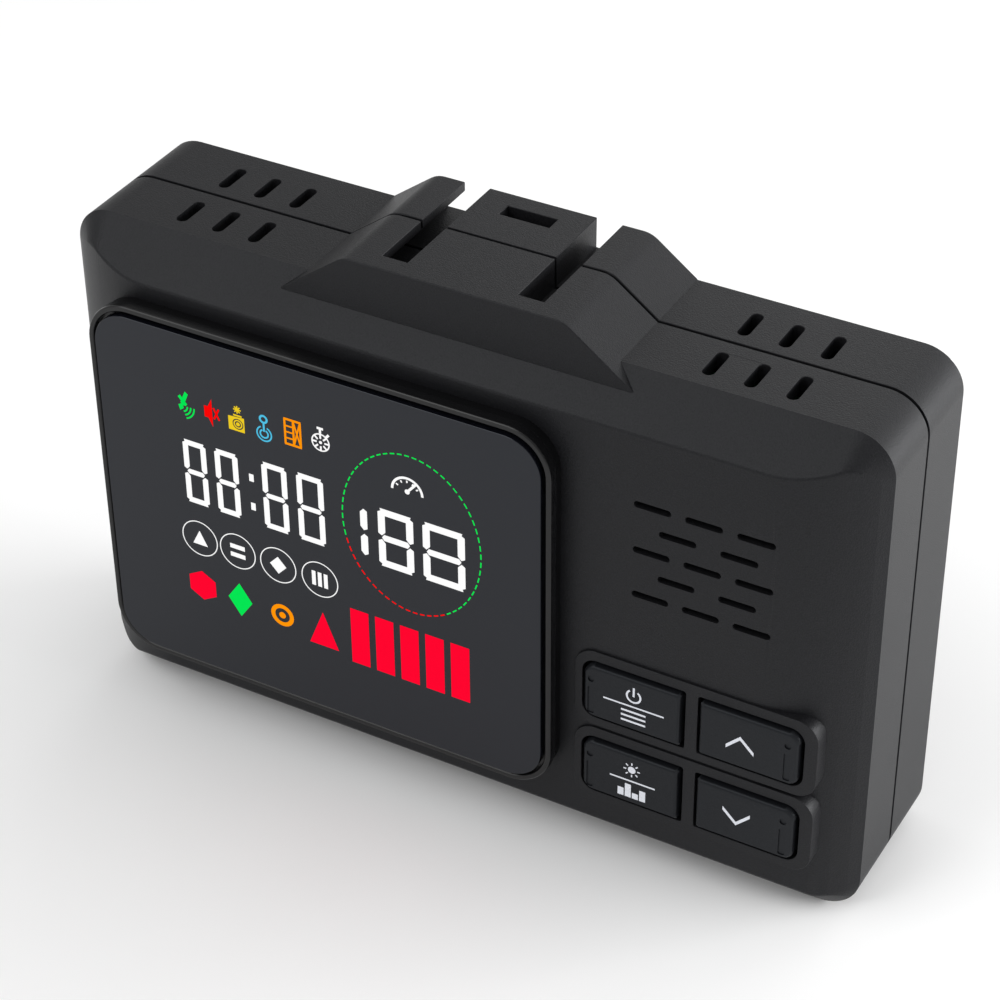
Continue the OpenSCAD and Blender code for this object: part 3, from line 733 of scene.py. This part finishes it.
class DETECTOR_OT_display(bpy.types.Operator):
    """Makes the display's frame, its rim and its dark window"""
    bl_idname = "detector.display"
    bl_label = "Display"

    def execute(self, context):
        screen = looks("screen")
        case = looks("case")
        trim = plastic("Satin trim", (0.0035, 0.0035, 0.004), 0.5, 4200.0, 1e-5, 0.3, 0.1, 0.04,
                       Specular_IOR_Level=0.10)
        rim = plastic("Display rim", (0.0035, 0.0035, 0.004), 0.26, 4200.0, 1e-5, 0.3, 0.1, 0.04,
                      Specular_IOR_Level=0.34)
        window = plastic("Dark window", screen.window, screen.window_roughness, 5200.0, 7e-6, 0.6, 0.1, 0.03,
                         Specular_IOR_Level=0.37, Specular_Tint=(0.86, 0.91, 1.0, 1))
        soft_copy("screen_frame", ["display_frame"], "root", trim,
                  lambda node, low, high: case.outer_edge if high.y < FACE_Y else 0.0)
        soft_copy("screen_rim", ["display_bezel"], "root", rim,
                  lambda node, low, high: 0.00026 if high.y < WINDOW_Y + 0.6 else case.fine_edge)
        soft_copy("screen_window", ["display_window"], "root", window,
                  lambda node, low, high: case.fine_edge if high.y < WINDOW_Y + 0.1 else 0.0)
        return {"FINISHED"}


class DETECTOR_OT_marks(bpy.types.Operator):
    """Makes the lit marks on the window, one piece for each colour"""
    bl_idname = "detector.marks"
    bl_label = "Lit marks"

    def execute(self, context):
        screen = looks("screen")
        front = WINDOW_Y - screen.mark_height / MM
        for name, colour, drawings in (
                ("marks_red", screen.red, (band_marks_red, strength_bars)),
                ("marks_scarlet", screen.scarlet, (muted_speaker, lambda p: dashes(p, 195, 300))),
                ("marks_green", screen.green, (satellite, band_mark_green, lambda p: dashes(p, 0, 195),
                                               lambda p: dashes(p, 300, 360))),
                ("marks_orange", screen.orange, (map_mark, band_mark_orange)),
                ("marks_yellow", screen.yellow, (camera_mark,)),
                ("marks_cyan", screen.cyan, (target_mark,)),
                ("marks_white", screen.white, (stopwatch, clock, circled_marks, speed, gauge_mark))):
            plates = Plates(front, WINDOW_Y + 0.02)
            for draw in drawings:
                draw(plates)
            plates.finish(name, "root", glow(name.replace("_", " "), colour))
        return {"FINISHED"}


def legend_menu(plates, x, z):
    """A power mark over a line, and three bars for a menu under it."""
    plates.arc(x + 6.6, z + 5.35, 0.72, 0.95, 125, 415, 20)
    plates.rect(x + 6.48, z + 5.3, x + 6.72, z + 6.55)
    plates.rect(x + 2.9, z + 3.75, x + 10.3, z + 3.95)
    for k in range(3):
        plates.rect(x + 5.1, z + 1.55 + k * 0.7, x + 8.1, z + 1.8 + k * 0.7)


def legend_dim(plates, x, z):
    """A sun over a line, and a row of buildings under it."""
    plates.disc(x + 6.6, z + 5.5, 0.48, 16)
    for angle in range(0, 360, 45):
        c, s = math.cos(math.radians(angle)), math.sin(math.radians(angle))
        plates.line(x + 6.6 + 0.68 * c, z + 5.5 + 0.68 * s, x + 6.6 + 1.02 * c, z + 5.5 + 1.02 * s, 0.16)
    plates.rect(x + 3.9, z + 3.75, x + 9.5, z + 3.95)
    for k, height in enumerate((1.1, 1.9, 0.8, 1.5)):
        plates.rect(x + 4.9 + k * 0.9, z + 1.4, x + 5.65 + k * 0.9, z + 1.4 + height)


def chevron(plates, x, z, side):
    """An arrowhead with its tip at (x, z); side is 1 where its arms rise from the tip."""
    arm, thick = 1.65, 0.5
    plates.poly((x, z), (x + arm, z + side * arm), (x + arm, z + side * (arm + thick)), (x, z + side * thick))
    plates.poly((x, z), (x, z + side * thick), (x - arm, z + side * (arm + thick)), (x - arm, z + side * arm))


def legend_up(plates, x, z):
    chevron(plates, x + 5.35, z + 4.9, -1)


def legend_down(plates, x, z):
    chevron(plates, x + 5.35, z + 2.9, 1)


class DETECTOR_OT_buttons(bpy.types.Operator):
    """Makes the four button caps and the marks printed on them"""
    bl_idname = "detector.buttons"
    bl_label = "Buttons"

    def execute(self, context):
        case = looks("case")
        surface = plastic("Button plastic", (0.0066, 0.0070, 0.0086), 0.42, 4800.0, 2.0e-5, 0.6, 0.1, 0.04,
                          Specular_IOR_Level=0.22, Specular_Tint=(0.88, 0.94, 1.0, 1))
        ink = plastic("Legend ink", looks("screen").legend, 0.5, 4000.0, 0.0, 0.1, 0.05, 0.05)
        for node, legend in (("button_menu", legend_menu), ("button_up", legend_up),
                             ("button_dim", legend_dim), ("button_down", legend_down)):
            short = node.removeprefix("button_")
            soft_copy("cap_" + short, [node], node + "_body", surface,
                      lambda node, low, high: 0.0, sharp=math.radians(50))
            plates = Plates(CAP_Y - 0.02, CAP_Y + 0.03)
            legend(plates, *BUTTONS[node])
            plates.finish("legend_" + short, node + "_body", ink)
        return {"FINISHED"}


class DETECTOR_OT_sockets(bpy.types.Operator):
    """Makes the laser window, the ring in the power socket and the contacts of the USB port"""
    bl_idname = "detector.sockets"
    bl_label = "Sockets and laser window"

    def execute(self, context):
        red = plastic("Infrared window", (0.010, 0.0010, 0.0018), 0.12, 900.0, 0.0, 0.2, 0.1, 0.02,
                      Specular_IOR_Level=0.32)
        soft_copy("laser_cover", ["laser_window"], "root", red,
                  lambda node, low, high: 0.00015 if low.y > BACK_Y - 0.4 else 0.0)
        centre = Vector((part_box("power_jack")[0].x, (BACK_Y - JACK_IN) * MM, JACK_Z * MM))
        plated = metal("Plated contact", (0.86, 0.68, 0.36), 0.22)
        bm = bmesh.new()
        start = [bm.verts.new(centre + Vector((x * MM, r * MM, 0)))
                 for x, r in ((-0.05, 2.5), (-0.05, 1.85), (0.4, 1.85), (0.4, 2.5))]
        edges = [bm.edges.new((start[i], start[(i + 1) % 4])) for i in range(4)]
        bmesh.ops.spin(bm, geom=[*start, *edges], cent=centre, axis=(1, 0, 0), angle=2 * math.pi, steps=48,
                       use_merge=True)
        bmesh.ops.remove_doubles(bm, verts=bm.verts, dist=1e-7)
        bmesh.ops.recalc_face_normals(bm, faces=bm.faces)
        finished("jack_ring", bm, "root", metal("Tinned steel", (0.40, 0.40, 0.41), 0.24))
        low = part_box("usb_tongue")[0]
        bm = bmesh.new()
        for k in range(5):
            z = low.z + (0.5 + k * 0.8) * MM
            out = bmesh.ops.create_cube(bm, size=1)
            bmesh.ops.scale(bm, verts=out["verts"], vec=(2.2 * MM, 0.06 * MM, 0.42 * MM))
            bmesh.ops.translate(bm, verts=out["verts"], vec=(low.x + 1.4 * MM, low.y, z))
        finished("usb_contacts", bm, "root", plated, smooth=False)
        return {"FINISHED"}


class DETECTOR_OT_insides(bpy.types.Operator):
    """Gives the CAD nodes that stay their finishes: boards, shields, antennas, speaker and screws"""
    bl_idname = "detector.insides"
    bl_label = "Insides"

    def execute(self, context):
        steel = metal("Bright steel", (0.36, 0.36, 0.38), 0.26)
        tinned = metal("Tinned steel", (0.40, 0.40, 0.41), 0.24)
        cast = metal("Cast aluminium", (0.66, 0.66, 0.68), 0.42, (1, 1, 1))
        black = plastic("Black nylon", (0.012, 0.012, 0.013), 0.5, 2600.0, 1e-5, 0.3, 0.1, 0.08)
        board = material("Circuit board", circuit_tracks(), {}, 2e-5)
        finishes = {
            "display_gasket": plastic("Foam rubber", (0.012, 0.012, 0.012),
                                      0.9, 1800.0, 4e-5, 0.8, 0.2, 0.05),
            "display_panel": plastic("Display glass", (0.02, 0.024, 0.024), 0.12, 900.0, 0.0, 0.1, 0.1, 0.02),
            "light_guide": plastic("Clear acrylic", (0.82, 0.85, 0.84), 0.2, 500.0, 0.0, 0.04, 0.04, 0.04),
            "panel_holder": plastic("White holder", (0.72, 0.72, 0.70), 0.5, 2600.0, 1e-5, 0.1, 0.06, 0.05),
            "backlight_leds": plastic("Lamp package", (0.85, 0.74, 0.35), 0.35, 1200.0, 0.0, 0.2, 0.1, 0.05),
            "display_board": board, "main_board": board,
            "plunger_menu": plastic("Plunger plastic", (0.42, 0.36, 0.25),
                                    0.45, 2600.0, 1e-5, 0.1, 0.1, 0.05),
            "board_header": black, "speaker_frame": black, "laser_holder": black, "usb_tongue": black,
            "power_jack": black,
            "processor_chips": plastic("Chip package", (0.02, 0.02, 0.021),
                                       0.55, 3800.0, 8e-6, 0.4, 0.1, 0.05),
            "horn_antenna": cast, "rf_shield": tinned, "gps_module": tinned, "usb_socket": tinned,
            "gps_antenna": plastic("Antenna ceramic", (0.55, 0.46, 0.32), 0.6, 2000.0, 1e-5, 0.2, 0.1, 0.05),
            "laser_lens": plastic("Lens", (0.14, 0.012, 0.014), 0.06, 700.0, 0.0, 0.05, 0.05, 0.01,
                                  Coat_Weight=0.5),
            "speaker_cone": plastic("Paper cone", (0.05, 0.045, 0.04), 0.85, 1400.0, 3e-5, 0.6, 0.2, 0.05),
            "speaker_cloth": plastic("Grille cloth", (0.007, 0.007, 0.008),
                                     0.95, 1100.0, 6e-5, 0.9, 0.1, 0.02),
            "speaker_leads": plastic("Lead insulation", (0.35, 0.02, 0.02),
                                     0.45, 2600.0, 5e-6, 0.1, 0.1, 0.05),
        }
        for node in ("switch_bases", "backup_cell", "speaker_magnet", "case_screws", "front_board_screws",
                     "main_board_screws"):
            finishes[node] = steel
        for node in ("plunger_up", "plunger_dim", "plunger_down"):
            finishes[node] = finishes["plunger_menu"]
        finishes["laser_sensor"] = finishes["processor_chips"]
        for node, surface in finishes.items():
            data = NODES[node].data
            data.materials.clear()
            data.materials.append(surface)
        plain = [n for n in NODES if n not in finishes and not NODES[n].hide_render]
        if plain:
            raise RuntimeError(f"these nodes have no finish: {plain}")
        return {"FINISHED"}


OPERATORS = [DETECTOR_OT_stage, DETECTOR_OT_case, DETECTOR_OT_display, DETECTOR_OT_marks,
             DETECTOR_OT_buttons, DETECTOR_OT_sockets, DETECTOR_OT_insides]


class DETECTOR_PT_panel(bpy.types.Panel):
    """Lists the pieces of the detector and what can be changed on them"""
    bl_label = "Radar Detector"
    bl_idname = "DETECTOR_PT_panel"
    bl_space_type = "VIEW_3D"
    bl_region_type = "UI"
    bl_category = "Detector"

    def draw(self, context):
        for operator in OPERATORS:
            self.layout.operator(operator.bl_idname)
        for name, group in GROUPS.items():
            box = self.layout.box()
            for key in group.__annotations__:
                box.prop(getattr(context.scene, name), key)


def register():
    for cls in (*GROUPS.values(), *OPERATORS, DETECTOR_PT_panel):
        bpy.utils.register_class(cls)
    for name, group in GROUPS.items():
        setattr(bpy.types.Scene, name, PointerProperty(type=group))


def unregister():
    for name in GROUPS:
        delattr(bpy.types.Scene, name)
    for cls in (DETECTOR_PT_panel, *reversed(OPERATORS), *GROUPS.values()):
        bpy.utils.unregister_class(cls)


def main():
    register()
    bpy.ops.detector.stage()
    bpy.ops.detector.case()
    bpy.ops.detector.display()
    bpy.ops.detector.marks()
    bpy.ops.detector.buttons()
    bpy.ops.detector.sockets()
    bpy.ops.detector.insides()


if __name__ == "__main__":
    main()
